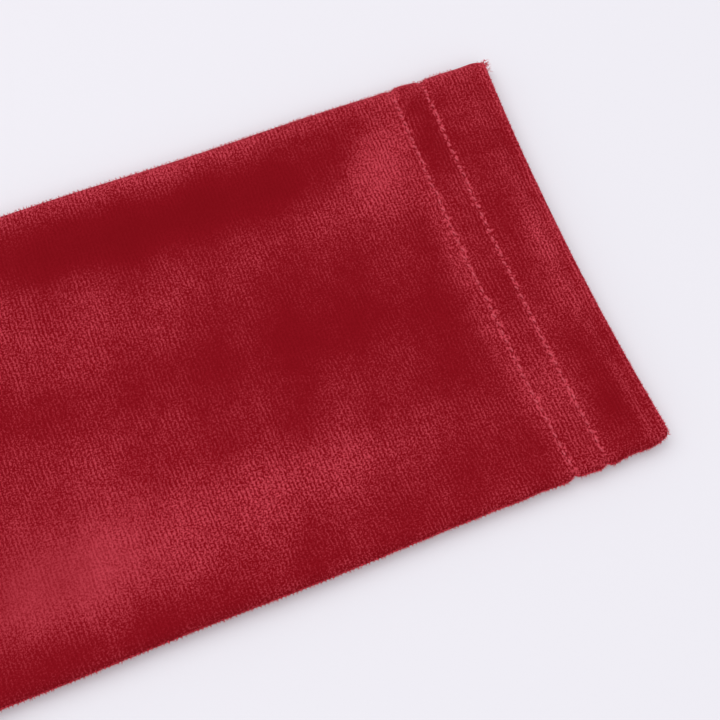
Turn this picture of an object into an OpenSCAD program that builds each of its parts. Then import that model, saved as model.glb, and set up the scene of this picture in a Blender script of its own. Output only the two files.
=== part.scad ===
// A pair of long stretch-velvet opera gloves, lying flat side by side, palms down.
// +Y runs from the cuffs to the fingertips, +X from the left glove to the right, +Z up.
// The origin is on the resting surface, midway between the gloves and midway along them.
// Each glove is drawn once, as the left one, from its own cuff; the right one is its mirror.

/* [Sleeve] */
// Length of a glove from the cuff fold to the middle fingertip
glove_l = 550; // [500:10:600]
// Flat width of the sleeve at the cuff
cuff_w = 100; // [94:1:112]
// Flat width at the wrist
wrist_w = 74; // [70:1:78]
// Flat width across the palm
palm_w = 82; // [80:1:86]
// Depth of the cloth that is turned in at the cuff
hem_l = 25; // [24:0.5:30]
// Distance between the centre lines of the two gloves
pair_pitch = 170; // [165:5:220]

/* [Cloth] */
// Thickness of the velvet, pile included
cloth_t = 0.9; // [0.7:0.1:1]
// Height of a glove that lies flat
flat_h = 4.8; // [4.4:0.1:6]

/* [Hem stitching] */
// Distance of the outer needle row from the cuff fold
outer_row_y = 15.6; // [12:0.2:17]
// Distance of the inner needle row from the cuff fold
inner_row_y = 23.4; // [20:0.2:23.6]
// Length of one stitch, gap included
stitch_pitch = 2.1; // [2:0.1:3]
// Thickness of the sewing thread
thread_d = 0.36; // [0.3:0.02:0.4]

/* [Hidden] */
PIECES = ["back_panel", "palm_panel", "thumb_panel", "fourchette_index_middle",
          "fourchette_middle_ring", "fourchette_ring_little", "little_side_seam", "index_side_seam",
          "finger_seams", "thumb_seam", "hem_outer_row", "hem_inner_row", "hem_bobbin_rows"];

// Along the sleeve, from the cuff: where it starts to narrow, the wrist, the palm, and the finger roots.
taper_y = 150;
wrist_y = 345;
palm_y = 430;
root_y = 450;
// The line that the fingers leave: its distance from the cuff at the middle, and its fall to the little finger.
crotch_y = 464;
crotch_fall = 5;

// The four fingers, from the index to the little one: centre at the root, width, and lean towards the thumb side.
finger_x = [30.9, 10.2, -10.4, -30.7];
finger_w = [19.6, 19.6, 19.2, 18.6];
finger_lean = [4.5, 1.2, -2, -6];
// Distance of each fingertip from the root line; the middle one sets the glove's length.
finger_l = [for (drop = [13, 0, 8, 33]) glove_l - root_y - drop];

thumb_w = 23;
thumb_l = 74;
thumb_root = [27, 388];
thumb_lean = 36;

zone_foot = 3;      // start of the finger gap zones past the root line, below every crotch
zone_past = 5;      // how far a zone runs past the fingertips
seam_t = 0.7;       // thickness of the sewn edge inside
seam_h = 0.8;       // height of the sewn edge inside
groove_w = 0.7;     // the channel that a row of stitches pulls into the cloth
groove_d = 0.42;
row_margin = 2;     // clear cloth at each end of a row
past = 1;           // how far a cutting shape runs past what it cuts
colour_cloth = [0.55, 0.05, 0.09];
colour_gusset = [0.48, 0.04, 0.08];
colour_thread = [0.66, 0.12, 0.16];
arc_fn = 48;

function smooth(s) = let (c = min(1, max(0, s))) c * c * (3 - 2 * c);

// Half of the flat width at a distance from the cuff.
function half_width(y) =
    cuff_w / 2
    - (cuff_w - wrist_w) / 2 * smooth((y - taper_y) / (wrist_y - taper_y))
    + (palm_w - wrist_w) / 2 * smooth((y - wrist_y) / (palm_y - wrist_y));

// Stations along the edge, close together only where it curves.
stations = [taper_y, for (y = [taper_y + 15 : 15 : palm_y]) y];

// A point on a finger's centre line, at a distance from its root.
function on_finger(i, s) = [finger_x[i] + s * sin(finger_lean[i]), root_y + s * cos(finger_lean[i])];

// Sleeve and hand without fingers, drawn in by d; a drawn-in shape runs out through the cuff.
module hand_flat(d) {
    start = d > 0 ? -past : 0;
    right = [[half_width(0) - d, start], for (y = stations) [half_width(y) - d, y],
             [palm_w / 2 - d, crotch_y + crotch_fall - d]];
    left = [[-palm_w / 2 + d, crotch_y - crotch_fall - d],
            for (i = [len(stations) - 1 : -1 : 0]) [-half_width(stations[i]) + d, stations[i]],
            [-half_width(0) + d, start]];
    polygon(concat(right, left));
}

// A long tube pressed flat: straight sides and a half-round tip, drawn in by d.
module tube_flat(root, lean, width, length, d) {
    translate(root) rotate(-lean) union() {
        translate([-width / 2 + d, 0]) square([width - 2 * d, length - width / 2]);
        translate([0, length - width / 2]) circle(width / 2 - d, $fn = arc_fn);
    }
}

module finger_flat(i, d) {
    tube_flat([finger_x[i], root_y], finger_lean[i], finger_w[i], finger_l[i] / cos(finger_lean[i]), d);
}

module thumb_flat(d) {
    tube_flat(thumb_root, thumb_lean, thumb_w, thumb_l, d);
}

// Slab of a flat outline between two heights.
module slab(low, high) {
    translate([0, 0, low]) linear_extrude(high - low) children();
}

// Sleeve, hand and fingers as one solid, drawn in by d, between two heights.
module body_solid(d, low, high) {
    slab(low, high) hand_flat(d);
    for (i = [0 : 3]) slab(low, high) finger_flat(i, d);
}

// The strip of cloth or seam that follows the outline, from d1 to d2 inside it.
module edge_ring(d1, d2, low, high) {
    difference() {
        body_solid(d1, low, high);
        body_solid(d2, low - past, high + past);
    }
}

// The zone between the centre lines of fingers i and i + 1, from below the crotch to past the tips.
module gap_zone(i, low, high) {
    slab(low, high) polygon([on_finger(i, zone_foot), on_finger(i, finger_l[i] + zone_past),
                             on_finger(i + 1, finger_l[i + 1] + zone_past), on_finger(i + 1, zone_foot)]);
}

// Everything on one side of the hand: sign is 1 for the index side and -1 for the little finger's.
module side_zone(sign, low, high) {
    finger = sign > 0 ? 0 : 3;
    tip = on_finger(finger, finger_l[finger] + zone_past);
    slab(low, high) polygon([[0, -past], [sign * cuff_w, -past], [sign * cuff_w, tip[1]], tip,
                             on_finger(finger, 0), [0, root_y]]);
}

// The two channels that the needle rows pull into the outer face.
module row_grooves(low) {
    for (row_y = [outer_row_y, inner_row_y])
        translate([-cuff_w, row_y - groove_w / 2, low]) cube([2 * cuff_w, groove_w, groove_d]);
}

// The cloth turned in at the cuff, between the side seams, from a height upwards.
module turned_hem(low) {
    translate([-cuff_w / 2 + cloth_t, 0, low]) cube([cuff_w - 2 * cloth_t, hem_l, cloth_t]);
}

// Upper layer of a glove: the back of the sleeve, hand and fingers, with its turned-in hem.
module back_panel() {
    color(colour_cloth) difference() {
        union() {
            body_solid(0, flat_h - cloth_t, flat_h);
            turned_hem(flat_h - 2 * cloth_t);
        }
        row_grooves(flat_h - groove_d);
    }
}

// Lower layer of a glove: the palm side.
module palm_panel() {
    color(colour_cloth) difference() {
        union() {
            body_solid(0, 0, cloth_t);
            turned_hem(cloth_t);
        }
        row_grooves(0);
    }
}

// The walls between two fingers and the web that joins them at the crotch.
module fourchette_solid(i, low, high) {
    intersection() {
        edge_ring(0, cloth_t, low, high);
        gap_zone(i, low, high);
    }
}

module fourchette(i) {
    color(colour_gusset) fourchette_solid(i, cloth_t, flat_h - cloth_t);
}

// The thumb is a tube of its own, set against the index side of the hand.
module thumb_panel() {
    color(colour_cloth) difference() {
        slab(0, flat_h) thumb_flat(0);
        slab(cloth_t, flat_h - cloth_t) thumb_flat(cloth_t);
        slab(-past, flat_h + past) hand_flat(0);
    }
}

// The sewn edge of both layers along one side, round the outer fingertip, open where the thumb goes in.
module side_seam(sign) {
    low = cloth_t;
    high = flat_h - cloth_t;
    color(colour_thread) difference() {
        intersection() {
            edge_ring(0, cloth_t, low, high);
            side_zone(sign, low, high);
        }
        slab(low - past, high + past) thumb_flat(cloth_t);
    }
}

// The sewn edges along the top and bottom of the three fourchettes.
module finger_seams() {
    color(colour_thread)
        for (low = [cloth_t, flat_h - cloth_t - seam_h])
            for (i = [0 : 2])
                intersection() {
                    edge_ring(cloth_t, cloth_t + seam_t, low, low + seam_h);
                    gap_zone(i, low, low + seam_h);
                }
}

// The sewn edge round the mouth of the thumb, above and below, just inside the thumb.
module thumb_seam() {
    color(colour_thread)
        for (low = [cloth_t, flat_h - cloth_t - seam_h])
            intersection() {
                slab(low, low + seam_h) thumb_flat(cloth_t);
                slab(low, low + seam_h) difference() {
                    translate([seam_t, 0]) hand_flat(0);
                    hand_flat(0);
                }
            }
}

// One row of separate stitches across the sleeve, at a height.
module stitch_row(row_y, height) {
    count = floor((cuff_w - 2 * row_margin) / stitch_pitch);
    for (i = [0 : count - 1])
        translate([(i - (count - 1) / 2) * stitch_pitch - stitch_pitch * 0.4, row_y, height])
            rotate([0, 90, 0]) cylinder(stitch_pitch * 0.8, d = thread_d, $fn = 16);
}

// A needle row, on the back and on the palm side.
module hem_row(row_y) {
    color(colour_thread)
        for (height = [thread_d / 2 + 0.02, flat_h - thread_d / 2 - 0.02]) stitch_row(row_y, height);
}

// The bobbin threads lie on the inside of the turned-in hem.
module hem_bobbin_rows() {
    color(colour_thread)
        for (row_y = [outer_row_y, inner_row_y])
            for (height = [2 * cloth_t + thread_d / 2 + 0.02, flat_h - 2 * cloth_t - thread_d / 2 - 0.02])
                stitch_row(row_y, height);
}

module piece(name) {
    if (name == "back_panel") back_panel();
    if (name == "palm_panel") palm_panel();
    if (name == "thumb_panel") thumb_panel();
    if (name == "fourchette_index_middle") fourchette(0);
    if (name == "fourchette_middle_ring") fourchette(1);
    if (name == "fourchette_ring_little") fourchette(2);
    if (name == "little_side_seam") side_seam(-1);
    if (name == "index_side_seam") side_seam(1);
    if (name == "finger_seams") finger_seams();
    if (name == "thumb_seam") thumb_seam();
    if (name == "hem_outer_row") hem_row(outer_row_y);
    if (name == "hem_inner_row") hem_row(inner_row_y);
    if (name == "hem_bobbin_rows") hem_bobbin_rows();
}

module left(name) {
    translate([-pair_pitch / 2, -glove_l / 2, 0]) piece(name);
}

for (name = PIECES) {
    left(name);
    mirror([1, 0, 0]) left(name);
}
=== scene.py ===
# %% [markdown]
# # A pair of stretch-velvet opera gloves
# Opera gloves are long tubes of thin stretch velvet. Each one here is cut as a back panel and a
# palm panel, joined along both sides, with narrow gussets between the fingers and a thumb that is
# sewn in as a tube of its own. The cuff is folded inwards and held by two parallel rows of
# stitches. The gloves lie flat, palms down, so most of the modelling is about thin cloth: how it
# rolls over at an edge, how thread pulls it in, and how its pile catches light.

import math

import bpy
import numpy as np
from mathutils import Matrix, Vector


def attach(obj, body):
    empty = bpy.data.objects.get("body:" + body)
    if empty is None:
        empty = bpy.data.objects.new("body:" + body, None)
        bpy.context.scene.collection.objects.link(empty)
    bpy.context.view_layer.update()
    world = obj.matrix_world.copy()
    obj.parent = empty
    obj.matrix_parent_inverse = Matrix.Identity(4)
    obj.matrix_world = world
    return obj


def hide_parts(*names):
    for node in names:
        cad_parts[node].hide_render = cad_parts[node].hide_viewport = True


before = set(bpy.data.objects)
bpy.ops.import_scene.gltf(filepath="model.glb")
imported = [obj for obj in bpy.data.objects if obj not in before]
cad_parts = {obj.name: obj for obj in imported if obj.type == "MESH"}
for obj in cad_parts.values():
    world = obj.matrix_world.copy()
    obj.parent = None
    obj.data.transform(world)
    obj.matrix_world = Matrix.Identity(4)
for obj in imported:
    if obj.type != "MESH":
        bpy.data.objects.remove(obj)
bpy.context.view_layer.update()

# %% [markdown]
# ## Sizes
# Lengths are in millimetres, in a glove's own flat pattern: x runs across it, positive towards
# the thumb, and y runs from the cuff fold to the fingertips. Only the last step of each piece
# turns them into metres in the shared frame.

# %% The flat pattern
GLOVE_L, HEM_L = 550.0, 25.0
CUFF_HALF, WRIST_HALF, PALM_HALF = 50.0, 37.0, 41.0
TAPER_Y, WRIST_Y, PALM_Y, ROOT_Y = 150.0, 345.0, 430.0, 450.0
CROTCH_Y, CROTCH_FALL = 464.0, 5.0
FINGER_X = [30.9, 10.2, -10.4, -30.7]  # index, middle, ring, little
FINGER_W = [19.6, 19.6, 19.2, 18.6]
FINGER_LEAN = [math.radians(a) for a in (4.5, 1.2, -2.0, -6.0)]
FINGER_L = [GLOVE_L - ROOT_Y - drop for drop in (13.0, 0.0, 8.0, 33.0)]
THUMB_ROOT, THUMB_LEAN, THUMB_W, THUMB_L = (27.0, 388.0), math.radians(36), 23.0, 74.0
MOUTH_Y = (382.0, 430.0)  # where the thumb's mouth is set into the side of the hand
HALF_PITCH = 85.0  # from the middle of the pair to the middle of a glove


def smooth(s):
    """0 below 0, 1 above 1, and an easy curve between."""
    c = np.clip(s, 0.0, 1.0)
    return c * c * (3 - 2 * c)


def bump(s, centre, spread):
    """A soft hill, 1 at its centre."""
    return np.exp(-(((s - centre) / spread) ** 2))


def rotated(dx, dy, degrees):
    """How far a point lies along and across a line that is turned by some degrees."""
    c, s = math.cos(math.radians(degrees)), math.sin(math.radians(degrees))
    return dx * c + dy * s, dy * c - dx * s


def half_width(y):
    """Half of the flat width at a distance from the cuff."""
    narrowing = (CUFF_HALF - WRIST_HALF) * smooth((y - TAPER_Y) / (WRIST_Y - TAPER_Y))
    widening = (PALM_HALF - WRIST_HALF) * smooth((y - WRIST_Y) / (PALM_Y - WRIST_Y))
    return CUFF_HALF - narrowing + widening


print("flat widths at cuff, wrist and palm:",
      [round(float(2 * half_width(y)), 1) for y in (0, WRIST_Y, PALM_Y)])

# %% [markdown]
# ## The cloth
# The velvet is under a millimetre thick. Two layers of it lie on each other with a little air
# between them, and roll over at the sides in a tight curve. The middle of the cloth's thickness
# is modelled first, as a single sheet, and Solidify gives it its two faces afterwards.

# %% Cloth and hem
CLOTH_T, FLAT_H = 0.9, 4.8
MID_H = FLAT_H / 2
RISE = MID_H - CLOTH_T / 2  # from the seam's level to the middle of a layer
RIM = 3.0  # width of the curve in which the cloth rolls over
FOLD_GAP = 0.95  # between the middles of the two layers of the hem
ROW_Y = (15.6, 23.4)
STITCH = 2.1
CUFF_BOW = 2.15
GUSSET_HALF = 1.25  # half of the opening that a gusset fills
MOUTH_HALF, MOUTH_EASE = 1.5, 6.0  # half opening at the thumb's mouth, and how soon it closes
FINGER_CROWN, HAND_CROWN = 0.8, 0.3  # how far the middle of a finger or the hand stands up
random = np.random.default_rng(7)


def freed(y):
    """0 near the cuff, which the hem holds flat, and 1 from the middle of the sleeve on."""
    return smooth((y - 150) / 60)


def cuff_bow(x, y):
    """The cuff and the rows behind it bow towards the hand in the middle, a little askew."""
    bow = CUFF_BOW * (1 - np.clip(x / CUFF_HALF, -1, 1) ** 2)
    askew = (0.022 + 0.0007 * y) * x
    return (bow + askew) * np.exp(-y / 80)


def edge_shift(y, side):
    """How far a side edge strays from the pattern: slow waves, and a nip at each stitch row."""
    free = 1 + 2.2 * smooth((y - 160) / 60)
    waves = (0.14 * np.sin(y / 23 + 1.3 * side) + 0.1 * np.sin(y / 8.3 + 2.1 * side)) * free
    scallops = (0.2 - 0.1 * side) * np.sin(y / 1.75 + side) * np.exp(-y / 26)
    nips = sum(bump(y, row, 0.95) for row in ROW_Y)
    corner = 0.35 * np.exp(-y / 0.7) if side > 0 else 1.1 * np.exp(-y / 1.5)
    band = 0.3 * bump(y, 21, 4) if side > 0 else 0.45 * bump(y, 16.5, 8)
    return (waves + scallops) * smooth(y / 3) - (0.65 - 0.15 * side) * nips - corner + band


# Each is x and y of its middle, half width, half length, degrees from straight across, and height.
FOLDS = [
    (-10, 324, 4.0, 26, -11, 0.7), (-5, 338, 3.2, 30, 9, 1.2), (9, 349, 3.0, 24, -7, 1.1),
    (-9, 358, 3.2, 24, 12, 1.2), (6, 369, 3.6, 26, 5, 0.9), (16, 396, 3.8, 26, -40, 1.3),
    (5, 409, 4.2, 28, -50, 1.1), (-16, 392, 3.8, 22, 34, 0.9), (-18, 428, 4.2, 22, 18, 0.7),
    (20, 436, 3.8, 17, -16, 0.8), (-8, 296, 5.5, 34, -32, 1.0), (11, 264, 6.0, 36, 27, 1.0),
    (-13, 231, 6.5, 34, -24, 0.9), (15, 199, 6.5, 30, 36, 0.7), (34, 490, 2.6, 9, 14, 0.9),
    (12, 496, 2.8, 9, -11, 1.0), (-12, 493, 2.6, 9, 16, 0.9), (-35, 484, 2.6, 8, -8, 0.8),
    (37, 513, 2.4, 8, -12, 0.8), (12, 522, 2.6, 8, 14, 0.8), (-13, 517, 2.4, 8, -10, 0.8),
    (-38, 501, 2.4, 8, 16, 0.7)]


def creases(x, y):
    """Soft ridges that worn gloves keep at the wrist, the thumb's root and the knuckles."""
    total = 0.0
    for px, py, half_w, half_l, turn, height in FOLDS:
        along, across = rotated(x - px, y - py, turn)
        lean = (across + 1.1 * np.sin(along / 7.5 + px)) / half_w
        steeper = 1 + 0.6 * np.tanh(2 * lean)
        total = total + height * np.exp(-(lean ** 2) * steeper - (along / half_l) ** 4)
    return total


def soft_waves(x, y):
    """Gentle unevenness of cloth at rest, and a few wrinkles where the wrist narrows."""
    free = 1 + 1.3 * freed(y)
    slow = (0.34 * np.sin(x / 15.5 + y / 37 + 0.6) + 0.26 * np.sin(x / 27 - y / 19 + 2.0)) * free
    small = 0.10 * np.sin(x / 5.1 + y / 8.7) + 0.09 * np.sin(x / 6.9 - y / 5.6 + 1.1)
    drift = y + 0.32 * x + 5 * np.sin(x / 17 + y / 61)
    at_wrist = bump(y, 352, 36) * (0.55 + 0.45 * np.sin(x / 13 + y / 29))
    on_arm = bump(y, 255, 50) * (0.5 + 0.5 * np.sin(x / 19 - y / 40))
    wrinkles = 0.55 * np.sin(drift / 3.9) * at_wrist + 0.5 * np.sin((y - 0.2 * x) / 8.6) * on_arm
    return slow + small + wrinkles + creases(x, y)


def stitch_pull(x, y):
    """Depth of the channels that the needle rows pull, deepest where the needle went in."""
    holes = 0.82 + 0.18 * np.cos(2 * math.pi * x / STITCH)
    return 0.45 * holes * sum(bump(y, row, 0.62) for row in ROW_Y)


def hem_puff(y):
    """The doubled cloth stands a little proud between its stitches."""
    proud = 0.24 * bump(y, 19.5, 1.9) + 0.3 * bump(y, 8.5, 3.6)
    return proud - 0.2 * bump(y, 27.5, 2.4) - 0.16 * bump(y, 2.9, 0.9)


print("two layers and the air between them:", FLAT_H, "mm")

# %% [markdown]
# ## Columns and rows of the pattern
# A glove's panel could be cut from a plain grid with booleans, but then its edges would be
# ragged. Instead the grid keeps one column of faces for each gap between two fingers. Below the
# fingers these columns are just cloth. Above, they are deleted, and the four strips left over
# become fingers.

# %% Columns across the hand
RIM_STEPS = 1 - np.cos(np.linspace(0, math.pi / 2, 6))
STRIP_MID = np.linspace(0, 1, 17)[1:-1]
HAND_MID = np.linspace(0, 1, 98)[1:-1]


def columns(left, right, rim, middle):
    """Positions from one edge to the other, crowded where the cloth rolls over."""
    left, right, rim = (np.asarray(v, float)[..., None] for v in (left, right, rim))
    return np.concatenate([left + rim * RIM_STEPS,
                           left + rim + middle * (right - left - 2 * rim),
                           right - rim * RIM_STEPS[::-1]], axis=-1)


class Strip:
    """One finger's strip of the grid: where it starts, which way it points and how long it is."""

    def __init__(self, root, lean, width, length, start_y):
        self.lean = lean
        self.half = width / 2 - CLOTH_T / 2
        self.centre = np.array([root[0] + (start_y - root[1]) * math.tan(lean), start_y])
        self.length = (length - (start_y - root[1])) / math.cos(lean) - CLOTH_T / 2
        self.tip_r = 0.94 * self.half
        self.straight = self.length - self.tip_r
        self.unit = columns(-1.0, 1.0, RIM / self.half, STRIP_MID)

    def stations(self, rows, tip_rows):
        """Distances along the strip: even, then crowded round the tip."""
        along = self.straight * np.linspace(0, 1, rows + 1)
        angle = np.linspace(0, math.pi / 2, tip_rows + 1)[1:]
        return np.concatenate([along, self.straight + self.tip_r * np.sin(angle)])

    def half_at(self, s):
        body = self.half * (1 - 0.06 * smooth(s / self.straight))
        tip = np.sqrt(np.maximum(self.tip_r ** 2 - np.maximum(s - self.straight, 0) ** 2, 0))
        return np.where(s > self.straight, tip, body)

    def place(self, s, lateral):
        """Pattern position of points at s along the strip and lateral across it."""
        x = self.centre[0] + s * math.sin(self.lean) + lateral * math.cos(self.lean)
        y = self.centre[1] + s * math.cos(self.lean) - lateral * math.sin(self.lean)
        return x, y

    def depth(self, s, lateral):
        """Distance from the strip's edge."""
        round_tip = self.tip_r - np.hypot(lateral, np.maximum(s - self.straight, 0))
        beside = self.half_at(s) - np.abs(lateral)
        return np.maximum(np.where(s > self.straight, round_tip, beside), 0)


strips = [Strip((FINGER_X[i], ROOT_Y), FINGER_LEAN[i], FINGER_W[i], FINGER_L[i],
                CROTCH_Y + CROTCH_FALL * FINGER_X[i] / PALM_HALF) for i in (3, 2, 1, 0)]
STRIP_COLS = len(strips[0].unit)
root_x = np.concatenate([s.centre[0] + s.unit * s.half for s in strips])
gap_x = [(root_x[STRIP_COLS * i - 1], root_x[STRIP_COLS * i]) for i in (1, 2, 3)]
print("columns:", len(root_x), "gaps at the crotches:", [round(b - a, 2) for a, b in gap_x])

# %% Rows along the hand
FINGER_ROWS, TIP_ROWS = 38, 12
fine = np.arange(FOLD_GAP / 2, 30, 0.6)
crotch_rows = CROTCH_Y - RIM * RIM_STEPS[::-1]
outside = np.concatenate([fine, np.arange(30, 160, 1.6),
                          np.arange(160, CROTCH_Y - RIM - 1.5, 2.0), crotch_rows])
turned = fine[fine < HEM_L][::-1]
turn = np.radians([150, 120, 90, 60, 30])
base_y = np.concatenate([turned, FOLD_GAP / 2 * (1 - np.sin(turn)), outside])
inset = np.concatenate([np.full(len(turned), FOLD_GAP), FOLD_GAP / 2 * (1 - np.cos(turn)),
                        np.zeros(len(outside))])
HAND_ROWS = len(base_y)
FIRST_OUTSIDE = len(turned) + len(turn)
print("rows: hand", HAND_ROWS, "fingers", FINGER_ROWS + TIP_ROWS)

# %% [markdown]
# ## The panel's shape
# Each point of the grid gets a place in the flat pattern and a depth, its distance from the nearest
# edge. The depth alone says how far the cloth has risen from the seam: a quarter of an ellipse near
# the edge, then flat. Waves, the pull of the stitches and the turned hem are added on top of that.

# %% Lay out one panel


def roll(depth, rim):
    """Share of its full height that the cloth has reached at a distance from an edge."""
    return np.sqrt(np.maximum(1 - (1 - np.clip(depth / rim, 0, 1)) ** 2, 0))


FAN_Y = 385.0  # from here on the columns spread towards their fingers


def hand_part():
    """Pattern x, y, depth and the half opening at the seam, for the rows below the fingers."""
    y = base_y[:, None]
    left = -(half_width(base_y) - CLOTH_T / 2 - inset + edge_shift(base_y, -1))
    right = half_width(base_y) - CLOTH_T / 2 - inset + edge_shift(base_y, 1)
    plain = columns(left, right, RIM - inset, HAND_MID)
    share = smooth((y - FAN_Y) / (CROTCH_Y - FAN_Y))
    x = (1 - share) * plain + share * root_x
    depth = np.minimum(x - x[:, :1], x[:, -1:] - x)
    tall = y + share * CROTCH_FALL * x / PALM_HALF
    opens = smooth((tall - MOUTH_Y[0]) / MOUTH_EASE)
    closes = smooth((MOUTH_Y[1] - tall) / MOUTH_EASE)
    opening = np.where(x > 0, MOUTH_HALF * opens * closes, 0.0)
    for low, high in gap_x:
        centre, half = (low + high) / 2, (high - low) / 2
        crotch = CROTCH_Y + CROTCH_FALL * centre / PALM_HALF
        near = np.hypot(np.maximum(np.abs(x - centre) - half, 0), np.maximum(crotch - tall, 0))
        opening = np.where(near < depth, GUSSET_HALF, opening)
        depth = np.minimum(depth, near)
    return x, tall, depth, opening


def finger_part(strip, edge, first, last):
    """The same for one finger; edge is its row of points at the crotch."""
    s = strip.stations(FINGER_ROWS, TIP_ROWS)[1:, None]
    lateral = strip.unit * strip.half_at(s)
    x, y = strip.place(s, lateral)
    share = smooth(s / 14)
    x = (1 - share) * edge[0] + share * x
    y = (1 - share) * (edge[1] + s) + share * y
    fade = 1 - smooth((s / strip.straight - 0.72) / 0.25)
    has_gusset = np.where(lateral < 0, not first, not last)
    return x, y, strip.depth(s, lateral), GUSSET_HALF * fade * has_gusset, lateral / strip.half


hand_x, hand_y, hand_depth, hand_open = hand_part()
fingers = []
for i, strip in enumerate(strips):
    cols = slice(STRIP_COLS * i, STRIP_COLS * (i + 1))
    fingers.append(finger_part(strip, (hand_x[-1, cols], hand_y[-1, cols]), i == 0, i == 3))
flat_x, flat_y, depth, opening = (
    np.concatenate([part, np.concatenate([f[k] for f in fingers], axis=1)])
    for k, part in enumerate((hand_x, hand_y, hand_depth, hand_open)))
across = np.concatenate([np.ones_like(hand_x), np.concatenate([f[4] for f in fingers], axis=1)])
row_inset = np.concatenate([inset, np.zeros(FINGER_ROWS + TIP_ROWS)])[:, None]
row_y = np.concatenate([base_y, np.full(FINGER_ROWS + TIP_ROWS, CROTCH_Y)])[:, None]
rolled = roll(depth, RIM - row_inset)
print("grid of", flat_x.shape, "points, tip at", round(float(flat_y.max()), 1), "mm")

# %% Heights of the two panels


def panel_height(side):
    """How far the cloth's middle is from the seam's level; side is 1 for back, -1 for palm."""
    height = opening * (1 - rolled) + (RISE - row_inset) * rolled
    hand_crown = HAND_CROWN * (1 - (flat_x / CUFF_HALF) ** 2) * (across == 1.0)
    uneven = soft_waves(flat_x, flat_y) + (FINGER_CROWN * (1 - across ** 2) + hand_crown)
    if side < 0:
        uneven = -0.12 * (1 + np.sin(flat_x / 14 + flat_y / 23))
    shaped = uneven * (0.35 + 0.65 * smooth(row_y / 6)) + hem_puff(row_y) * (side > 0)
    return side * (height + rolled * (shaped - stitch_pull(flat_x, row_y)))


def in_frame(points):
    """Pattern millimetres of the left glove to metres in the shared frame."""
    return (np.asarray(points) + np.array([-HALF_PITCH, -GLOVE_L / 2, MID_H])) / 1000


def to_frame(x, y, z):
    """The same for a grid of points, which also follow the bow of the cuff."""
    return in_frame(np.stack([x, y + cuff_bow(x, y), z], axis=-1))


highest = panel_height(1).max() + MID_H + CLOTH_T / 2
print("highest point of the back panel:", round(float(highest), 2), "mm")

# %% [markdown]
# ## From grid to cloth
# Blender's own grid primitive supplies the faces. Its points are then moved to the places worked
# out above, the columns between the fingers are deleted, the points that meet at each fingertip
# are merged, and Solidify gives the sheet its thickness. A UV map in metres of cloth goes along,
# so the ribs of the knit can follow the cloth round every edge.

# %% Helpers for making pieces


def deselect():
    bpy.ops.object.select_all(action="DESELECT")


def make_active(obj):
    deselect()
    obj.select_set(True)
    bpy.context.view_layer.objects.active = obj


def new_object(name, data):
    obj = bpy.data.objects.new(name, data)
    bpy.context.collection.objects.link(obj)
    return obj


def take_apart(obj):
    """The points and faces of a piece, which is removed."""
    points = np.array([v.co[:] for v in obj.data.vertices])
    polygons = [tuple(p.vertices) for p in obj.data.polygons]
    bpy.data.objects.remove(obj)
    return points, polygons


def edit(obj, *steps):
    """Runs edit-mode operators on everything in the piece that is selected."""
    make_active(obj)
    bpy.ops.object.mode_set(mode="EDIT")
    for step in steps:
        step()
    bpy.ops.object.mode_set(mode="OBJECT")


def apply_modifier(obj, kind, **settings):
    make_active(obj)
    modifier = obj.modifiers.new(kind.title(), kind)
    for key, value in settings.items():
        setattr(modifier, key, value)
    bpy.ops.object.modifier_apply(modifier=modifier.name)


def grid_piece(name, places, cloth_uv, brushed_sheen, combed=None):
    """A grid primitive whose points are put at places, an array of rows by columns by 3."""
    rows, cols = places.shape[:2]
    deselect()
    bpy.ops.mesh.primitive_grid_add(x_subdivisions=cols - 1, y_subdivisions=rows - 1, size=1)
    obj = bpy.context.object
    obj.name = obj.data.name = name
    mesh = obj.data
    mesh.vertices.foreach_set("co", places.reshape(-1).astype(np.float32))
    points = np.zeros(len(mesh.loops), dtype=np.int32)
    mesh.loops.foreach_get("vertex_index", points)
    mesh.uv_layers[0].name = "cloth"
    corners = cloth_uv.reshape(-1, 2)[points]
    mesh.uv_layers[0].data.foreach_set("uv", corners.reshape(-1).astype(np.float32))
    flat_pile = np.zeros_like(brushed_sheen) if combed is None else combed
    # Two point values: the tone of the pile with its painted sheen in it, and the combing.
    for label, value in (("brushed_sheen", brushed_sheen), ("combed", flat_pile)):
        layer = mesh.attributes.new(label, "FLOAT", "POINT")
        layer.data.foreach_set("value", value.reshape(-1).astype(np.float32))
    mesh.update()
    return obj


def delete_faces(obj, doomed):
    """Deletes the faces whose numbers are in doomed."""
    flags = np.zeros(len(obj.data.polygons), dtype=bool)
    flags[doomed] = True
    make_active(obj)
    bpy.ops.object.mode_set(mode="EDIT")
    bpy.ops.mesh.select_mode(type="FACE")
    bpy.ops.mesh.select_all(action="DESELECT")
    bpy.ops.object.mode_set(mode="OBJECT")
    obj.data.polygons.foreach_set("select", flags)
    edit(obj, lambda: bpy.ops.mesh.delete(type="FACE"))


def weld(obj, flip=False):
    """Merges points that lie on each other, and turns the faces over if asked."""
    def run():
        bpy.ops.mesh.select_mode(type="VERT")
        bpy.ops.mesh.select_all(action="SELECT")
        bpy.ops.mesh.remove_doubles(threshold=2e-6)
        if flip:
            bpy.ops.mesh.flip_normals()
    edit(obj, run)


def finish_cloth(obj):
    apply_modifier(obj, "SOLIDIFY", thickness=CLOTH_T / 1000, offset=0.0, use_quality_normals=True)
    make_active(obj)
    bpy.ops.object.shade_smooth_by_angle(angle=math.radians(50))
    print(obj.name, len(obj.data.polygons), "faces")
    return obj


print("helpers ready")
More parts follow.
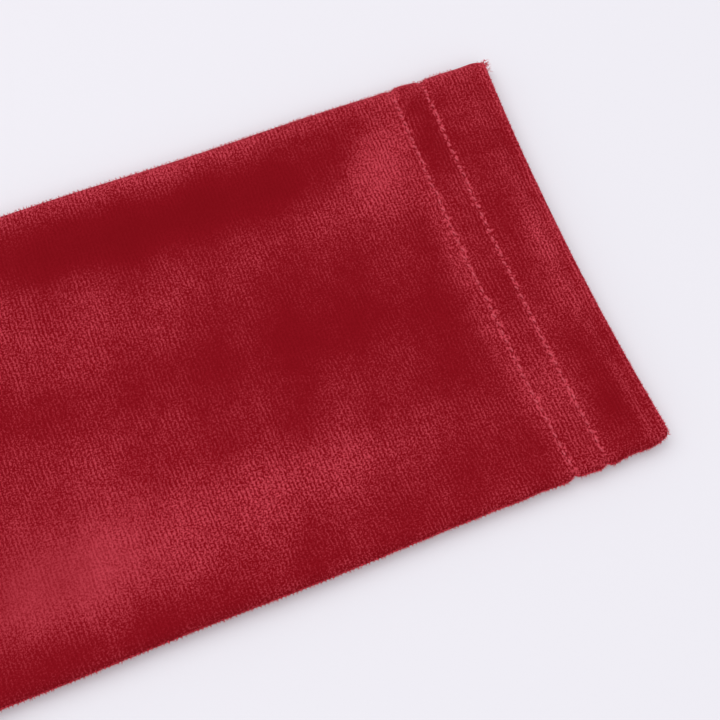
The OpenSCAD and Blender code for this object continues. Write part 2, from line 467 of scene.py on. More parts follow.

# %% [markdown]
# ## How the pile lies, and the sheen painted on it
# Velvet looks light or dark by the way its pile leans and catches the light; here that sheen is
# painted into its colour. Hands leave patches where the pile was brushed the other way, and these
# get a painted sheen, lighter or darker. Painted highlights lie on the crests of the creases, on
# the fold of the cuff and along the pile that leans out over an edge. Elsewhere the pile lies
# combed so flat that its grain hardly shows. Both are worked out here for every point, as two
# values the
# material can read: the tone with its painted sheen, and the combing.

# %% Brushed patches, painted as sheen
# Each is x and y of its middle, its reach across and along, its turn in degrees and its strength.
# A positive strength paints the sheen lighter and a negative one darker; the long thin patches by
# x = 47.5 and x = -49 are painted highlights along the side edges.
SHEEN_PATCHES = [
    (47.5, 50, 3, 110, 0, 0.22), (33, 33, 7.5, 11.5, -40, 0.48), (36, 85, 6, 42, 0, -0.22),
    (38, 8, 14, 9, 0, 0.12), (-49, 60, 1.6, 95, 0, 0.06), (20, 80, 9, 44, 0, 0.2),
    (-3, 65, 14, 32, 0, -0.08), (-32, 80, 8, 26, 0, 0.2), (-31, 127, 10.5, 38, -8, 0.38),
    (-13, 124, 9, 26, 0, 0.21), (-36, 3.4, 14, 1.6, 0, 0.2), (-2, 5, 30, 2.6, 0, 0.17),
    (-30, 19, 15, 7, 0, 0.27), (2, 25.5, 48, 2.6, 0, 0.15), (0, 118, 16, 24, 0, 0.07),
    (-46, 115, 5, 18, 0, -0.1)]


def pile_tone_and_sheen(x, y):
    """Tone of the pile with its sheen painted in: 0 where it lies as woven, towards 1 where the
    painted sheen is brightest.
    """
    value = 0.26 + 0.04 * np.sin(x / 17 + y / 29 + 1) + 0.04 * np.sin(x / 9.7 - y / 13.3 + 2)
    value = value + 0.05 * np.sin(x / 4.3 + y / 6.1) * np.sin(y / 5.2 - x / 7.9 + 1)
    for px, py, reach_x, reach_y, turn, strength in SHEEN_PATCHES:
        dx, dy = rotated(x - px, y - py, -turn)
        value = value + strength * np.exp(-((dx / reach_x) ** 2) - (dy / reach_y) ** 2)
    # A painted highlight along the fold of the cuff.
    fold_highlight = 0.3 * np.exp(-((y / 1.1) ** 2))
    up_the_arm = freed(y) * 0.3 * np.sin(x / 21 - y / 47) * np.sin(y / 33 + x / 29 + 2)
    # The last term paints a highlight on the crests of the creases.
    return value + fold_highlight + up_the_arm + 0.2 * creases(x, y)


def combed_pile(x, y):
    """1 where the pile lies combed so flat that its tufts hardly show."""
    return 0.75 * np.exp(-(((x + 30) / 15) ** 2)) * smooth((y - 85) / 45)


cloth_y = row_y + (flat_y - row_y) * (row_inset == 0)
# rim_light paints a sheen highlight on the pile within about a millimetre of an edge: by the cuff
# only on the thumb side, and from the middle of the sleeve on along every edge. pile is the tone
# with all this painted sheen in it.
rim_light = 0.42 * (flat_x > 0) * (1 - freed(cloth_y)) + 0.22 * freed(cloth_y)
pile = np.clip(pile_tone_and_sheen(flat_x, cloth_y) + rim_light * np.exp(-depth / 0.9), 0, 1)
combed = combed_pile(flat_x, cloth_y)
print("pile brushed back on average:", round(float(pile.mean()), 2))

# %% Back and palm panels of the left glove
gap_faces = []
for row in range(HAND_ROWS - 1, flat_x.shape[0] - 1):
    gap_faces += [row * (len(root_x) - 1) + STRIP_COLS * i - 1 for i in (1, 2, 3)]
cloth_uv = np.stack([flat_x + CUFF_HALF, np.where(row_inset > 0, row_y, flat_y)], axis=-1) / 1000
made = {}
for name, side in (("back_panel", 1), ("palm_panel", -1)):
    places = to_frame(flat_x, flat_y, panel_height(side))
    panel = grid_piece(f"left_{name}_cloth", places, cloth_uv, pile, combed)
    delete_faces(panel, gap_faces)
    weld(panel, flip=side < 0)
    made[name] = finish_cloth(panel)

# %% [markdown]
# ## Finger gussets
# A gusset, or fourchette, is the narrow strip between two fingers. It runs down the side of one
# finger, round the crotch and up the side of the next, and gives them room for a round finger.
# The panels stop short of each other there, and the gusset fills the opening they leave.

# %% Fourchettes of the left glove
GUSSET_COLS = 7
CREASE = 0.25  # how deep a gusset's middle is folded in
NARROWEST = 0.12  # half opening below which a gusset has run out


def edge_path(column_a, column_b):
    """Pattern x and y and the half opening down one strip's edge and up the next one's."""
    start = HAND_ROWS - 1
    down = [(flat_x[r, column_a], flat_y[r, column_a], opening[r, column_a])
            for r in range(flat_x.shape[0] - 2, start - 1, -1)]
    up = [(flat_x[r, column_b], flat_y[r, column_b], opening[r, column_b])
          for r in range(start, flat_x.shape[0] - 1)]
    a, b = np.array(down[-1]), np.array(up[0])
    web = [a + (b - a) * t - np.array([0, 0.35 * math.sin(math.pi * t), 0])
           for t in (0.25, 0.5, 0.75)]
    path = np.array(down + web + up)
    return path[path[:, 2] > NARROWEST]


for i, name in ((3, "index_middle"), (2, "middle_ring"), (1, "ring_little")):
    path = edge_path(STRIP_COLS * i - 1, STRIP_COLS * i)
    tangent = np.gradient(path[:, :2], axis=0)
    tangent /= np.linalg.norm(tangent, axis=1)[:, None]
    normal = np.stack([-tangent[:, 1], tangent[:, 0]], axis=1)
    level = np.linspace(-1, 1, GUSSET_COLS)
    crease = CREASE * (1 - level ** 2)
    gx = path[:, 0, None] - crease * normal[:, 0, None]
    gy = path[:, 1, None] - crease * normal[:, 1, None]
    gz = path[:, 2, None] * level * 0.98
    uv = np.stack([np.broadcast_to((level + 1) / 1000, gx.shape), gy / 1000], axis=-1)
    gusset = grid_piece(f"left_fourchette_{name}_cloth", to_frame(gx, gy, gz), uv,
                        np.full(gx.shape, 0.3))
    made[f"fourchette_{name}"] = finish_cloth(gusset)

# %% [markdown]
# ## Thumb
# The thumb is a tube. It is laid out as a flat strip like a finger, once for its upper face and
# once, mirrored, for its lower face, and the two are welded along their edges. Its mouth is
# squeezed a little flatter so that it passes into the opening left at the side of the hand.

# %% Thumb of the left glove
THUMB_START = 22.0
thumb = Strip(THUMB_ROOT, THUMB_LEAN, THUMB_W, THUMB_L * math.cos(THUMB_LEAN),
              THUMB_ROOT[1] + THUMB_START * math.cos(THUMB_LEAN))
thumb_s = thumb.stations(44, TIP_ROWS)[:, None]


def thumb_mouth(lateral):
    """The thumb's open end is cut on the slant, to follow the side of the hand."""
    return -lateral / math.tan(THUMB_LEAN) - 2.6


lateral = thumb.unit * thumb.half_at(thumb_s)
start = thumb_mouth(lateral)
slanted = np.where(thumb_s < thumb.straight,
                   start + (thumb.straight - start) * thumb_s / thumb.straight, thumb_s)
tx, ty = thumb.place(slanted, lateral)
thumb_depth = thumb.depth(np.maximum(slanted, 0), lateral)
squeeze = 0.5 + 0.5 * smooth((slanted - start) / 9)
lift = roll(thumb_depth, RIM) * RISE * squeeze
swell = FINGER_CROWN * (1 - (lateral / thumb.half) ** 2) * smooth((slanted - start) / 12)
swell = swell + 0.25 * np.sin(slanted / 2.6 + lateral / 9) * bump(slanted, 34, 14)
swell = swell * roll(thumb_depth, 5)
uv = np.stack([lateral + 20, THUMB_ROOT[1] + slanted], axis=-1) / 1000
thumb_pile = 0.38 + 0.15 * np.sin(slanted / 9)
upper = grid_piece("thumb_upper", to_frame(tx, ty, lift + swell), uv, thumb_pile)
lower = grid_piece("thumb_lower", to_frame(tx, ty, -lift), uv, thumb_pile)
weld(lower, flip=True)
make_active(upper)
lower.select_set(True)
bpy.ops.object.join()
upper.name = upper.data.name = "left_thumb_panel_cloth"
weld(upper)
made["thumb_panel"] = finish_cloth(upper)

# %% [markdown]
# ## Stitches of the hem
# Two needles sew the hem at once, so the right side shows two parallel rows of short straight
# stitches, sunk in the pile. One stitch is modelled from a cylinder that is pinched at both ends
# where the thread dives into the cloth, then copied along both rows, each copy turned a hair
# differently.

# %% One stitch, and rows of copies
THREAD_R = 0.22
SEEN = 0.67  # share of each stitch that shows before the thread dives
PROUD = 0.17  # how far the middle of a thread lies above the channel
SLANT = math.radians(19)


def template_stitch():
    deselect()
    bpy.ops.mesh.primitive_cylinder_add(vertices=8, radius=THREAD_R, depth=STITCH * SEEN,
                                        rotation=(0, math.pi / 2, 0))
    obj = bpy.context.object
    bpy.ops.object.transform_apply(location=True, rotation=True, scale=True)

    def cut_and_round():
        bpy.ops.mesh.select_all(action="SELECT")
        for x in (-0.52, -0.3, 0.0, 0.3, 0.52):
            bpy.ops.mesh.bisect(plane_co=(x, 0, 0), plane_no=(1, 0, 0))
            bpy.ops.mesh.select_all(action="SELECT")
    edit(obj, cut_and_round)
    points, polygons = take_apart(obj)
    along = points[:, 0] / (STITCH * SEEN / 2)
    fat = 1.15 - 0.6 * along ** 4
    points[:, 1] *= fat
    points[:, 2] = points[:, 2] * fat - 0.28 * along ** 2 - 0.1 * np.abs(along)
    return points, polygons


def copies(name, template, transforms):
    """One mesh of many copies; every transform is (3x3 matrix, place) in pattern millimetres."""
    points, polygons = template
    all_points, all_polygons = [], []
    for turn, place in transforms:
        base = len(all_points) * len(points)
        all_points.append(points @ turn.T + place)
        all_polygons += [tuple(base + v for v in p) for p in polygons]
    stacked = np.concatenate(all_points)
    stacked[:, 2] = np.maximum(stacked[:, 2], 0.02 - MID_H)  # nothing reaches into the table
    mesh = bpy.data.meshes.new(name)
    mesh.from_pydata(in_frame(stacked).tolist(), [], all_polygons)
    obj = new_object(name, mesh)
    make_active(obj)
    bpy.ops.object.shade_smooth_by_angle(angle=math.radians(60))
    print(name, len(transforms), "copies,", len(mesh.polygons), "faces")
    return obj


def spin(angle_z, tilt=0.0, flip=1.0):
    """Turn about z, then about y; flip mirrors top to bottom by a half turn about x."""
    turn = Matrix.Rotation(angle_z, 3, "Z") @ Matrix.Rotation(tilt, 3, "Y")
    if flip < 0:
        turn = turn @ Matrix.Rotation(math.pi, 3, "X")
    return np.array(turn)


stitch = template_stitch()
STITCHES = int((2 * CUFF_HALF - 4) / STITCH)
for row, name in zip(ROW_Y, ("hem_outer_row", "hem_inner_row")):
    transforms = []
    for side in (1, -1):
        for k in range(STITCHES):
            x = (k - (STITCHES - 1) / 2) * STITCH
            surface = RISE + CLOTH_T / 2 - float(stitch_pull(x + STITCH / 2, row))
            if side > 0:
                surface += float(soft_waves(x, row)) + HAND_CROWN * (1 - (x / CUFF_HALF) ** 2)
            risen = math.sqrt(1 - (1 - min(1.0, (CUFF_HALF - 1 - abs(x)) / RIM)) ** 2)
            place = np.array([x, row + float(cuff_bow(x, row)) + random.normal(0, 0.13),
                              side * (surface * risen + PROUD)])
            turn = spin(SLANT + random.normal(0, 0.2), random.normal(0, 0.04), side)
            transforms.append((turn, place))
    made[name] = copies(f"left_{name}_thread", stitch, transforms)

# %% [markdown]
# ## Threads and sewn edges inside
# Inside, an overlock seam wraps the raw edges in loops of thread, and the bobbin thread of the hem
# zigzags between the two rows. These are curves: a path, a helix wound round it, and a round bevel.

# %% Overlock seams and bobbin threads
LOOP_PITCH, LOOP_STEPS = 2.2, 8
SEAM_R = 0.09
SEAM_START = 8.0  # the cuff's turned edge covers the seam up to here
SEAM_LOOP, GUSSET_LOOP = (0.4, 0.42), (0.3, 0.24)  # half width and half height of a loop


def thread_curve(part, lines, radius=SEAM_R):
    """Round threads along lines of points in pattern millimetres, made into a mesh."""
    name = f"left_{part}_thread"
    curve = bpy.data.curves.new(name, "CURVE")
    curve.dimensions, curve.bevel_depth, curve.bevel_resolution = "3D", radius / 1000, 0
    for line in lines:
        spline = curve.splines.new("POLY")
        spline.points.add(len(line) - 1)
        places = np.column_stack([in_frame(line), np.ones(len(line))])
        spline.points.foreach_set("co", places.reshape(-1))
    obj = new_object(name, curve)
    make_active(obj)
    bpy.ops.object.convert(target="MESH")
    bpy.ops.object.shade_smooth()
    print(name, len(obj.data.polygons), "faces")
    made[part] = obj


def resample(path, step):
    """Evenly spaced points along a path, and the direction at each."""
    path = np.asarray(path, float)
    lengths = np.concatenate([[0], np.cumsum(np.linalg.norm(np.diff(path, axis=0), axis=1))])
    at = np.arange(0, lengths[-1], step)
    points = np.stack([np.interp(at, lengths, path[:, k]) for k in range(path.shape[1])], axis=1)
    direction = np.gradient(points, axis=0)
    return points, direction / np.linalg.norm(direction, axis=1)[:, None]


def overlock(path, inward, z, radius_in, radius_up):
    """A helix of thread round a sewn edge that lies inward of a flat path, at height z."""
    points, direction = resample(path, LOOP_PITCH / LOOP_STEPS)
    side = inward * np.stack([-direction[:, 1], direction[:, 0]], axis=1)
    angle = np.arange(len(points)) * 2 * math.pi / LOOP_STEPS
    lift = z + radius_up * np.sin(angle)
    flat = points + side * (0.95 + radius_in * (1 - np.cos(angle)))[:, None]
    return np.column_stack([flat, lift])


def side_edge(column):
    """The flat path of one side edge, from the fold of the cuff to the fingertip."""
    x, y = (values[FIRST_OUTSIDE:-1, column] for values in (flat_x, flat_y))
    return np.stack([x, y + cuff_bow(x, y)], axis=1)


little_edge, index_edge = side_edge(0), side_edge(-1)
after_hem = little_edge[little_edge[:, 1] > SEAM_START]
before_thumb = index_edge[(index_edge[:, 1] > SEAM_START) & (index_edge[:, 1] < MOUTH_Y[0] - 2)]
after_thumb = index_edge[index_edge[:, 1] > MOUTH_Y[1] + 4]
thread_curve("little_side_seam", [overlock(after_hem, -1, 0, *SEAM_LOOP)])
thread_curve("index_side_seam",
             [overlock(path, 1, 0, *SEAM_LOOP) for path in (before_thumb, after_thumb)])
gusset_lines = []
for i in (3, 2, 1):
    path = edge_path(STRIP_COLS * i - 1, STRIP_COLS * i)
    path = path[path[:, 2] > 0.5 * GUSSET_HALF][:, :2]
    gusset_lines += [overlock(path, -1, z, *GUSSET_LOOP) for z in (0.85, -0.85)]
thread_curve("finger_seams", gusset_lines, 0.08)
mouth = np.stack([tx[0, 3:-3], ty[0, 3:-3]], axis=1)
thread_curve("thumb_seam",
             [np.column_stack([mouth + 0.3, np.full(len(mouth), 0.22 * k)]) for k in (-1, 1)])
bobbin = []
x = np.arange(-CUFF_HALF + 5, CUFF_HALF - 5, STITCH / 2)
swing = 0.5 * (-1.0) ** np.arange(len(x))
for row in ROW_Y:
    for side in (1, -1):
        level = np.full(len(x), side * 0.16)
        bobbin.append(np.column_stack([x, row + cuff_bow(x, row) + swing, level]))
thread_curve("hem_bobbin_rows", bobbin, 0.1)

# %% [markdown]
# ## Pile at the edges
# Seen from above, the pile of a velvet edge stands out sideways as a fine fringe. At one corner
# of the cuff, where the seam ends, a few loose tufts stick out further. One hair is a three-sided
# cone that leans over; it is copied along the edges in small bunches, one bunch to each rib of
# the knit.

# %% Hairs along the edges
RIB = 0.89  # from rib to rib of the knit
ROOTED = 0.12  # how deep a hair starts inside the cloth
HAIR_BY_CUFF, HAIR_BEYOND = 0.055, (0.13, 0.3)  # spacing by the cuff; spacing and length beyond
FRINGE_Y = 190.0  # where the fine fringe by the cuff ends
FULL_TURN = 6.3


def template_hair():
    deselect()
    bpy.ops.mesh.primitive_cone_add(vertices=3, radius1=0.095, radius2=0.0, depth=1.0,
                                    location=(0, 0, 0.5))
    obj = bpy.context.object
    bpy.ops.object.transform_apply(location=True, rotation=True, scale=True)

    def divide():
        bpy.ops.mesh.select_all(action="SELECT")
        bpy.ops.mesh.bisect(plane_co=(0, 0, 0.6), plane_no=(0, 0, 1))
    edit(obj, divide)
    points, polygons = take_apart(obj)
    points[:, 0] += 0.28 * points[:, 2] ** 2
    return points, polygons


def aim(direction, twist, length):
    """A 3x3 matrix that points a hair along direction, twists it and gives it its length."""
    turn = Vector(direction).to_track_quat("Z", "Y").to_matrix() @ Matrix.Rotation(twist, 3, "Z")
    return np.array(turn) @ np.diag([1.0, 1.0, length])


def edge_hairs(path, outward, spacing, length):
    """Transforms of hairs that stand out from a flat path, bunched by rib."""
    points, direction = resample(path, spacing)
    side = outward * np.stack([-direction[:, 1], direction[:, 0]], axis=1)
    result = []
    for point, along, out in zip(points, direction, side):
        z = random.uniform(-1.3, 1.3)
        bulge = math.sqrt(1 - (z / (RISE + 0.3)) ** 2)
        rib = 0.75 + 0.5 * math.cos(2 * math.pi * point[1] / RIB)
        lean = along * random.normal(0.1, 0.35)
        toward = np.array([*(out + lean), z / 2.2 + random.normal(0, 0.2)])
        place = np.array([*(point + out * (CLOTH_T / 2 - ROOTED - 0.9 * (1 - bulge))), z])
        turn = aim(toward, random.uniform(0, FULL_TURN), length * rib * random.uniform(0.6, 1.3))
        result.append((turn, place))
    return result


def fringe(path, outward, length):
    """Fine hairs of a given length by the cuff, and shorter, sparser ones beyond."""
    near, far = path[path[:, 1] < FRINGE_Y], path[path[:, 1] >= FRINGE_Y]
    return (edge_hairs(near, outward, HAIR_BY_CUFF, length)
            + edge_hairs(far, outward, *HAIR_BEYOND))


hair = template_hair()
hairs = fringe(little_edge, 1, 0.55) + fringe(before_thumb, -1, 0.4)
hairs += edge_hairs(after_thumb, -1, *HAIR_BEYOND)
root_r = FOLD_GAP / 2 + CLOTH_T / 2 - ROOTED
for x in np.arange(-CUFF_HALF + 1.2, CUFF_HALF - 1.2, 0.028):
    side = random.choice((-1, 1))
    round_fold = random.uniform(-0.9, 1.2 if side > 0 else 0.4)
    y = FOLD_GAP / 2 - root_r * math.cos(round_fold) + float(cuff_bow(x, 0))
    at_edge = min(1, math.sqrt((CUFF_HALF - abs(x)) / RIM))
    z = side * (RISE - FOLD_GAP / 2 + root_r * math.sin(round_fold)) * at_edge
    way = (random.normal(0, 0.35), -math.cos(round_fold),
           side * math.sin(round_fold) + random.normal(0, 0.2))
    turn = aim(way, random.uniform(0, FULL_TURN), 0.42 * random.uniform(0.6, 1.4))
    hairs.append((turn, np.array([x, y, z])))
CORNER_TUFTS = 120
for _ in range(CORNER_TUFTS):
    angle = random.normal(math.radians(-50), 0.75)
    at = np.array([CUFF_HALF - 1.6 + random.normal(0, 0.5), 0.9 + random.normal(0, 0.7),
                   random.uniform(-1.4, 1.5)])
    way = (math.cos(angle), math.sin(angle), random.normal(0.25, 0.35))
    hairs.append((aim(way, random.uniform(0, FULL_TURN), random.uniform(0.6, 1.5)), at))
made["pile_fringe"] = copies("left_pile_fringe", hair, hairs)

# %% [markdown]
# ## Velvet, thread and how they are built
# Three effects are node groups. The ribbed pile gives a height and a speckle, the brushing gives
# a mask of painted sheen where the pile lies the other way, and the ruffled rows give one of
# painted sheen on the pile that the needles disturbed. The velvet blends them into one tone, which
# picks its colour from a ramp, so both sheens are painted into the base colour. The Principled
# shaders stay in the materials, with constants such as the sheen on their own sockets.

# %% Node helpers


def node(tree, kind, settings=None, **links):
    """Adds a node; a link is another node's socket or a plain value for the named input."""
    n = tree.nodes.new(kind)
    for key, value in (settings or {}).items():
        setattr(n, key, value)
    for key, value in links.items():
        numbered = key[0] == "i" and key[1:].isdigit()
        socket = n.inputs[int(key[1:]) if numbered else key.replace("_", " ")]
        if isinstance(value, bpy.types.NodeSocket):
            tree.links.new(value, socket)
        else:
            socket.default_value = value
    return n


def maths(tree, operation, a, b=0.0, clamp=False):
    settings = {"operation": operation, "use_clamp": clamp}
    return node(tree, "ShaderNodeMath", settings, i0=a, i1=b).outputs[0]


def noise(tree, vector, scale, detail=1.0, flat=True, **more):
    """A noise texture's value, read along the flat cloth or through space."""
    settings = {"noise_dimensions": "2D" if flat else "3D"}
    return node(tree, "ShaderNodeTexNoise", settings, Vector=vector, Scale=scale, Detail=detail,
                **more).outputs[0]


def swung(tree, value, size):
    """A noise value turned into a swing to both sides of zero."""
    return maths(tree, "MULTIPLY", maths(tree, "SUBTRACT", value, 0.5), size)


def mapped(tree, value, low, high, to_low=0.0, to_high=1.0, kind="LINEAR"):
    """A value between low and high, spread between to_low and to_high."""
    return node(tree, "ShaderNodeMapRange", {"interpolation_type": kind}, Value=value, From_Min=low,
                From_Max=high, To_Min=to_low, To_Max=to_high).outputs[0]


def blend(tree, *parts):
    """The sum of several values, each with its weight."""
    total = 0.0
    for value, weight in parts:
        total = maths(tree, "ADD", maths(tree, "MULTIPLY", value, weight), total)
    return total


def colour_ramp(tree, value, *stops):
    """Colours along a value; each stop is a position and a colour."""
    ramp = node(tree, "ShaderNodeValToRGB", i0=value)
    elements = ramp.color_ramp.elements
    elements[0].position, elements[1].position = stops[0][0], stops[-1][0]
    elements[0].color, elements[1].color = (*stops[0][1], 1), (*stops[-1][1], 1)
    for position, colour in stops[1:-1]:
        elements.new(position).color = (*colour, 1)
    return ramp.outputs[0]


def new_material(name, **values):
    """A material whose Principled shader has plain values on its own sockets."""
    material = bpy.data.materials.new(name)
    material.use_nodes = True
    shader = material.node_tree.nodes["Principled BSDF"]
    for key, value in values.items():
        shader.inputs[key.replace("_", " ")].default_value = value
    return material, material.node_tree, shader


def group(name, inputs, outputs):
    tree = bpy.data.node_groups.new(name, "ShaderNodeTree")
    for label, kind, value in inputs:
        socket = tree.interface.new_socket(label, in_out="INPUT", socket_type=kind)
        if value is not None:
            socket.default_value = value
    for label in outputs:
        tree.interface.new_socket(label, in_out="OUTPUT", socket_type="NodeSocketFloat")
    return tree, tree.nodes.new("NodeGroupInput"), tree.nodes.new("NodeGroupOutput")


# %% The ribbed pile
def ribbed_pile():
    """Ribs across the glove, broken into short tufts of pile."""
    tree, given, result = group(
        "ribbed_pile",
        [("Cloth", "NodeSocketVector", None), ("Rib Spacing", "NodeSocketFloat", RIB / 1000),
         ("Speck Scale", "NodeSocketFloat", 2200.0)], ["Height", "Speck"])
    flat = given.outputs["Cloth"]
    cloth = node(tree, "ShaderNodeSeparateXYZ", i0=flat)
    drift = swung(tree, noise(tree, flat, 90.0, 2.0), 0.0012)
    shake = swung(tree, noise(tree, flat, 480.0), 0.0004)
    at = maths(tree, "ADD", cloth.outputs[1], maths(tree, "ADD", drift, shake))
    along = maths(tree, "DIVIDE", at, given.outputs["Rib Spacing"])
    wave = maths(tree, "COSINE", maths(tree, "MULTIPLY", along, 2 * math.pi))
    kept = mapped(tree, noise(tree, flat, 210.0), 0.36, 0.62, 0.45, 1.0)
    rib = maths(tree, "ADD", maths(tree, "MULTIPLY", maths(tree, "MULTIPLY", wave, 0.5), kept), 0.5)
    stretched = node(tree, "ShaderNodeCombineXYZ", X=cloth.outputs[0],
                     Y=maths(tree, "MULTIPLY", cloth.outputs[1], 0.8)).outputs[0]
    tufts = noise(tree, stretched, given.outputs["Speck Scale"], 2.0, Roughness=0.65)
    coarse = noise(tree, flat, 420.0, 2.0)
    fine_hair = noise(tree, flat, 3600.0)
    mixed = blend(tree, (rib, 0.17), (tufts, 0.6), (fine_hair, 0.75), (coarse, 0.15))
    speck = mapped(tree, mixed, 0.6, 1.07, kind="SMOOTHSTEP")
    tree.links.new(blend(tree, (rib, 0.45), (tufts, 0.9)), result.inputs["Height"])
    tree.links.new(speck, result.inputs["Speck"])
    return tree


# %% The brushing, painted as sheen
def brushing_and_sheen():
    """Where the sheen of pile that lies the other way is painted: the patches, with cloudy edges.
    """
    inputs = [("Place", "NodeSocketVector", None), ("Patches", "NodeSocketFloat", 0.4)]
    tree, given, result = group("brushing_and_sheen", inputs, ["Mask"])
    place = given.outputs["Place"]
    clouds = swung(tree, noise(tree, place, 55.0, 3.0, flat=False, Roughness=0.55), 0.26)
    mottle = swung(tree, noise(tree, place, 190.0, 2.0, flat=False), 0.12)
    value = maths(tree, "ADD", given.outputs["Patches"], clouds)
    value = maths(tree, "ADD", value, mottle, clamp=True)
    tree.links.new(value, result.inputs["Mask"])
    return tree


# %% The ruffled pile beside the stitches, painted lighter as sheen
def ruffled_sheen_rows():
    """Pile that the needles ruffled, painted lighter as its sheen: short light marks that wander
    along both rows.
    """
    tree, given, result = group("ruffled_sheen_rows", [("Cloth", "NodeSocketVector", None)], ["Mask"])
    flat = given.outputs["Cloth"]
    cloth = node(tree, "ShaderNodeSeparateXYZ", i0=flat)
    at = maths(tree, "ADD", cloth.outputs[1], swung(tree, noise(tree, flat, 760.0), 0.0016))
    marks = mapped(tree, noise(tree, flat, 1350.0), 0.48, 0.62)
    total = None
    for row in ROW_Y:
        away = maths(tree, "ABSOLUTE", maths(tree, "SUBTRACT", at, row / 1000))
        line = mapped(tree, away, 0.0013, 0.0003, kind="SMOOTHSTEP")
        total = line if total is None else maths(tree, "ADD", total, line, clamp=True)
    tree.links.new(maths(tree, "MULTIPLY", total, marks), result.inputs["Mask"])
    return tree


pile_group, brushing_sheen_group, ruffled_sheen_group = ribbed_pile(), brushing_and_sheen(), ruffled_sheen_rows()


# %% The velvet
def velvet(name, dark, mid, light):
    """Red velvet: dark where its pile lies as woven, light where a sheen is painted in on pile that
    lies the other way or was ruffled.
    """
    material, tree, shader = new_material(
        name, Specular_IOR_Level=0.03, Sheen_Weight=0.4, Sheen_Roughness=0.3,
        Sheen_Tint=(1.0, 0.13, 0.19, 1))
    cloth = node(tree, "ShaderNodeUVMap", {"uv_map": "cloth"}).outputs[0]
    place = node(tree, "ShaderNodeTexCoord").outputs["Object"]
    patches, combed_flat = (
        node(tree, "ShaderNodeAttribute", {"attribute_name": label}).outputs["Fac"]
        for label in ("brushed_sheen", "combed"))
    ribs = node(tree, "ShaderNodeGroup", {"node_tree": pile_group}, Cloth=cloth)
    brushed_sheen = node(tree, "ShaderNodeGroup", {"node_tree": brushing_sheen_group}, Place=place,
                   Patches=patches)
    ruffled = node(tree, "ShaderNodeGroup", {"node_tree": ruffled_sheen_group}, Cloth=cloth)
    upright = maths(tree, "SUBTRACT", 1.0, combed_flat)
    speck = maths(tree, "MULTIPLY", maths(tree, "SUBTRACT", ribs.outputs["Speck"], 0.5), upright)
    grain = maths(tree, "ADD", maths(tree, "MULTIPLY", speck, 1.5), 1.0)
    # The tone: the painted sheen of the patches times the grain of the pile, plus some grain, plus
    # the painted sheen of the ruffled rows.
    tone = maths(tree, "MULTIPLY", brushed_sheen.outputs["Mask"], grain)
    tone = maths(tree, "ADD", tone, maths(tree, "ADD", maths(tree, "MULTIPLY", speck, 0.2), 0.05))
    ruffle_sheen = maths(tree, "MULTIPLY", ruffled.outputs["Mask"], 0.75)
    tone = maths(tree, "ADD", tone, ruffle_sheen, clamp=True)
    colour = colour_ramp(tree, tone, (0.0, dark), (0.42, mid), (1.0, light))
    tree.links.new(colour, shader.inputs["Base Color"])
    relief = node(tree, "ShaderNodeBump", Height=ribs.outputs["Height"], Strength=0.55,
                  Distance=0.00022)
    tree.links.new(relief.outputs[0], shader.inputs["Normal"])
    rough = maths(tree, "SUBTRACT", 0.86, maths(tree, "MULTIPLY", ribs.outputs["Speck"], 0.14))
    tree.links.new(rough, shader.inputs["Roughness"])
    return material


def fibre(name, dark, light):
    """Thread and loose hairs: twisted strands, lighter and darker in a fine noise."""
    material, tree, shader = new_material(
        name, Roughness=0.7, Specular_IOR_Level=0.12, Sheen_Weight=0.1,
        Sheen_Tint=(1.0, 0.3, 0.36, 1))
    place = node(tree, "ShaderNodeTexCoord").outputs["Object"]
    strands = noise(tree, place, 2600.0, 2.0, flat=False)
    colour = colour_ramp(tree, strands, (0.3, dark), (0.7, light))
    tree.links.new(colour, shader.inputs["Base Color"])
    relief = node(tree, "ShaderNodeBump", Height=strands, Strength=0.4, Distance=0.0001)
    tree.links.new(relief.outputs[0], shader.inputs["Normal"])
    return material


# The light end of each velvet's ramp is the colour of its painted sheen.
red_velvet = velvet("red_velvet", (0.182, 0.0022, 0.0058), (0.222, 0.0036, 0.0092),
                    (0.52, 0.052, 0.076))
# The gussets, which lie between the fingers, get a darker copy of the red velvet: painted shade.
gusset_velvet = velvet("gusset_velvet", (0.13, 0.004, 0.008), (0.2, 0.007, 0.014),
                       (0.4, 0.03, 0.05))
red_thread = fibre("red_thread", (0.38, 0.02, 0.036), (0.68, 0.1, 0.135))
# The loose hairs are painted lighter than the velvet, standing in for the light that shines through
# them.
loose_pile = fibre("loose_pile", (0.44, 0.012, 0.028), (0.7, 0.05, 0.085))
print("materials:", [m.name for m in (red_velvet, gusset_velvet, red_thread, loose_pile)])

# %% [markdown]
# ## The right glove
# The right glove is the left one mirrored. Each piece is copied with its own mesh, its points are
# moved to the other side, and its faces are turned over again, because mirroring turns them
# inside out.

# %% Mirrored copies, and what each piece stands for
# Flat width and length as cut, in metres, and flat area in square metres. The gussets are 3.5 mm
# wide, as their areas say, but their width is listed as 10 mm. 10 mm is the least width that can
# be declared.
CLOTH_NAMES = {
    "back_panel": (0.101, 0.575, 0.0504),
    "palm_panel": (0.101, 0.575, 0.0504),
    "thumb_panel": (0.050, 0.062, 0.0025),
    "fourchette_index_middle": (0.010, 0.121, 0.000424),
    "fourchette_middle_ring": (0.010, 0.130, 0.000455),
    "fourchette_ring_little": (0.010, 0.106, 0.000371)}


def finish_for(name):
    if name == "pile_fringe":
        return loose_pile, "velvet"
    if name.startswith("fourchette"):
        return gusset_velvet, "gusset_velvet"
    return (red_velvet, "velvet") if name in CLOTH_NAMES else (red_thread, "thread")


def mirrored(obj):
    twin = obj.copy()
    twin.data = obj.data.copy()
    twin.name = twin.data.name = obj.name.replace("left_", "right_")
    bpy.context.collection.objects.link(twin)
    co = np.zeros(3 * len(twin.data.vertices), dtype=np.float32)
    twin.data.vertices.foreach_get("co", co)
    co[0::3] *= -1
    twin.data.vertices.foreach_set("co", co)
    twin.data.flip_normals()
    twin.data.update()
    return twin


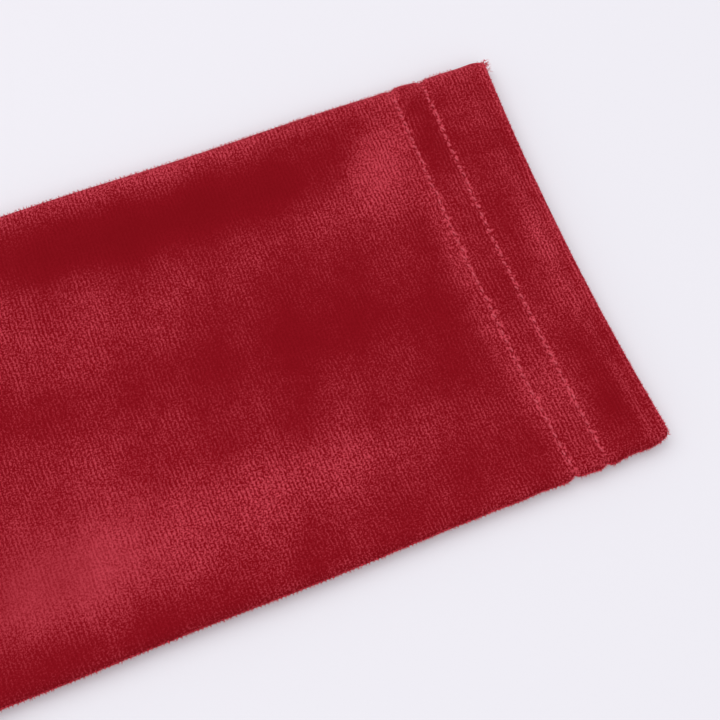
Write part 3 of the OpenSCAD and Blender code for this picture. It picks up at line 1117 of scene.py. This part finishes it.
for name, left_piece in made.items():
    material, slot = finish_for(name)
    for piece, side in ((left_piece, "left"), (mirrored(left_piece), "right")):
        piece.data.materials.clear()
        piece.data.materials.append(material)
        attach(piece, f"{side}_glove")
        if name != "pile_fringe":
            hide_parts(f"{side}_{name}")
print("pieces:", 2 * len(made))

# %% [markdown]
# ## Table, light and camera
# The gloves lie on a plain pale table under broad soft light from the far side. The camera looks
# down on the cuff of the left glove and is turned so that the glove runs across the picture.

# %% Table
deselect()
bpy.ops.mesh.primitive_plane_add(size=6, location=(0, 0, 0))
floor = bpy.context.object
floor.name = "floor"
pale_table, _, _ = new_material("pale_table", Base_Color=(0.769, 0.754, 0.798, 1), Roughness=0.9,
                                Specular_IOR_Level=0.1)
floor.data.materials.append(pale_table)

# %% Light
bpy.context.scene.view_settings.view_transform = "Standard"
world = bpy.data.worlds.new("studio")
bpy.context.scene.world = world
world.use_nodes = True
background = world.node_tree.nodes["Background"]
background.inputs["Color"].default_value = (0.98, 0.98, 1.0, 1)
background.inputs["Strength"].default_value = 0.7


def soft_box(name, place, target, size, power):
    light = bpy.data.lights.new(name, "AREA")
    light.shape, light.size, light.energy = "DISK", size, power
    obj = new_object(name, light)
    obj.location = place
    obj.rotation_euler = (Vector(target) - Vector(place)).to_track_quat("-Z", "Y").to_euler()


BY_THE_CUFF = (-0.085, -0.2, 0)
soft_box("key_light", (0.75, 0.30, 1.30), BY_THE_CUFF, 1.5, 12.0)
soft_box("fill_light", (-0.9, -0.5, 1.2), BY_THE_CUFF, 1.4, 5.0)

# %% Camera
CAMERA_AT = Vector((-0.1442, -0.1815, 0.2205))
CAMERA_RIGHT = Vector((-0.372, -0.925, 0.074))
CAMERA_BACK = Vector((-0.222, 0.166, 0.961)).normalized()
CAMERA_UP = CAMERA_BACK.cross(CAMERA_RIGHT).normalized()
camera_data = bpy.data.cameras.new("camera")
camera_data.lens, camera_data.sensor_width = 51.7, 36.0
camera_data.clip_start = 0.01
camera = new_object("camera", camera_data)
axes = Matrix((CAMERA_UP.cross(CAMERA_BACK).normalized(), CAMERA_UP, CAMERA_BACK)).transposed()
camera.matrix_world = Matrix.Translation(CAMERA_AT) @ axes.to_4x4()
bpy.context.scene.camera = camera
print("camera at", [round(v, 3) for v in CAMERA_AT])
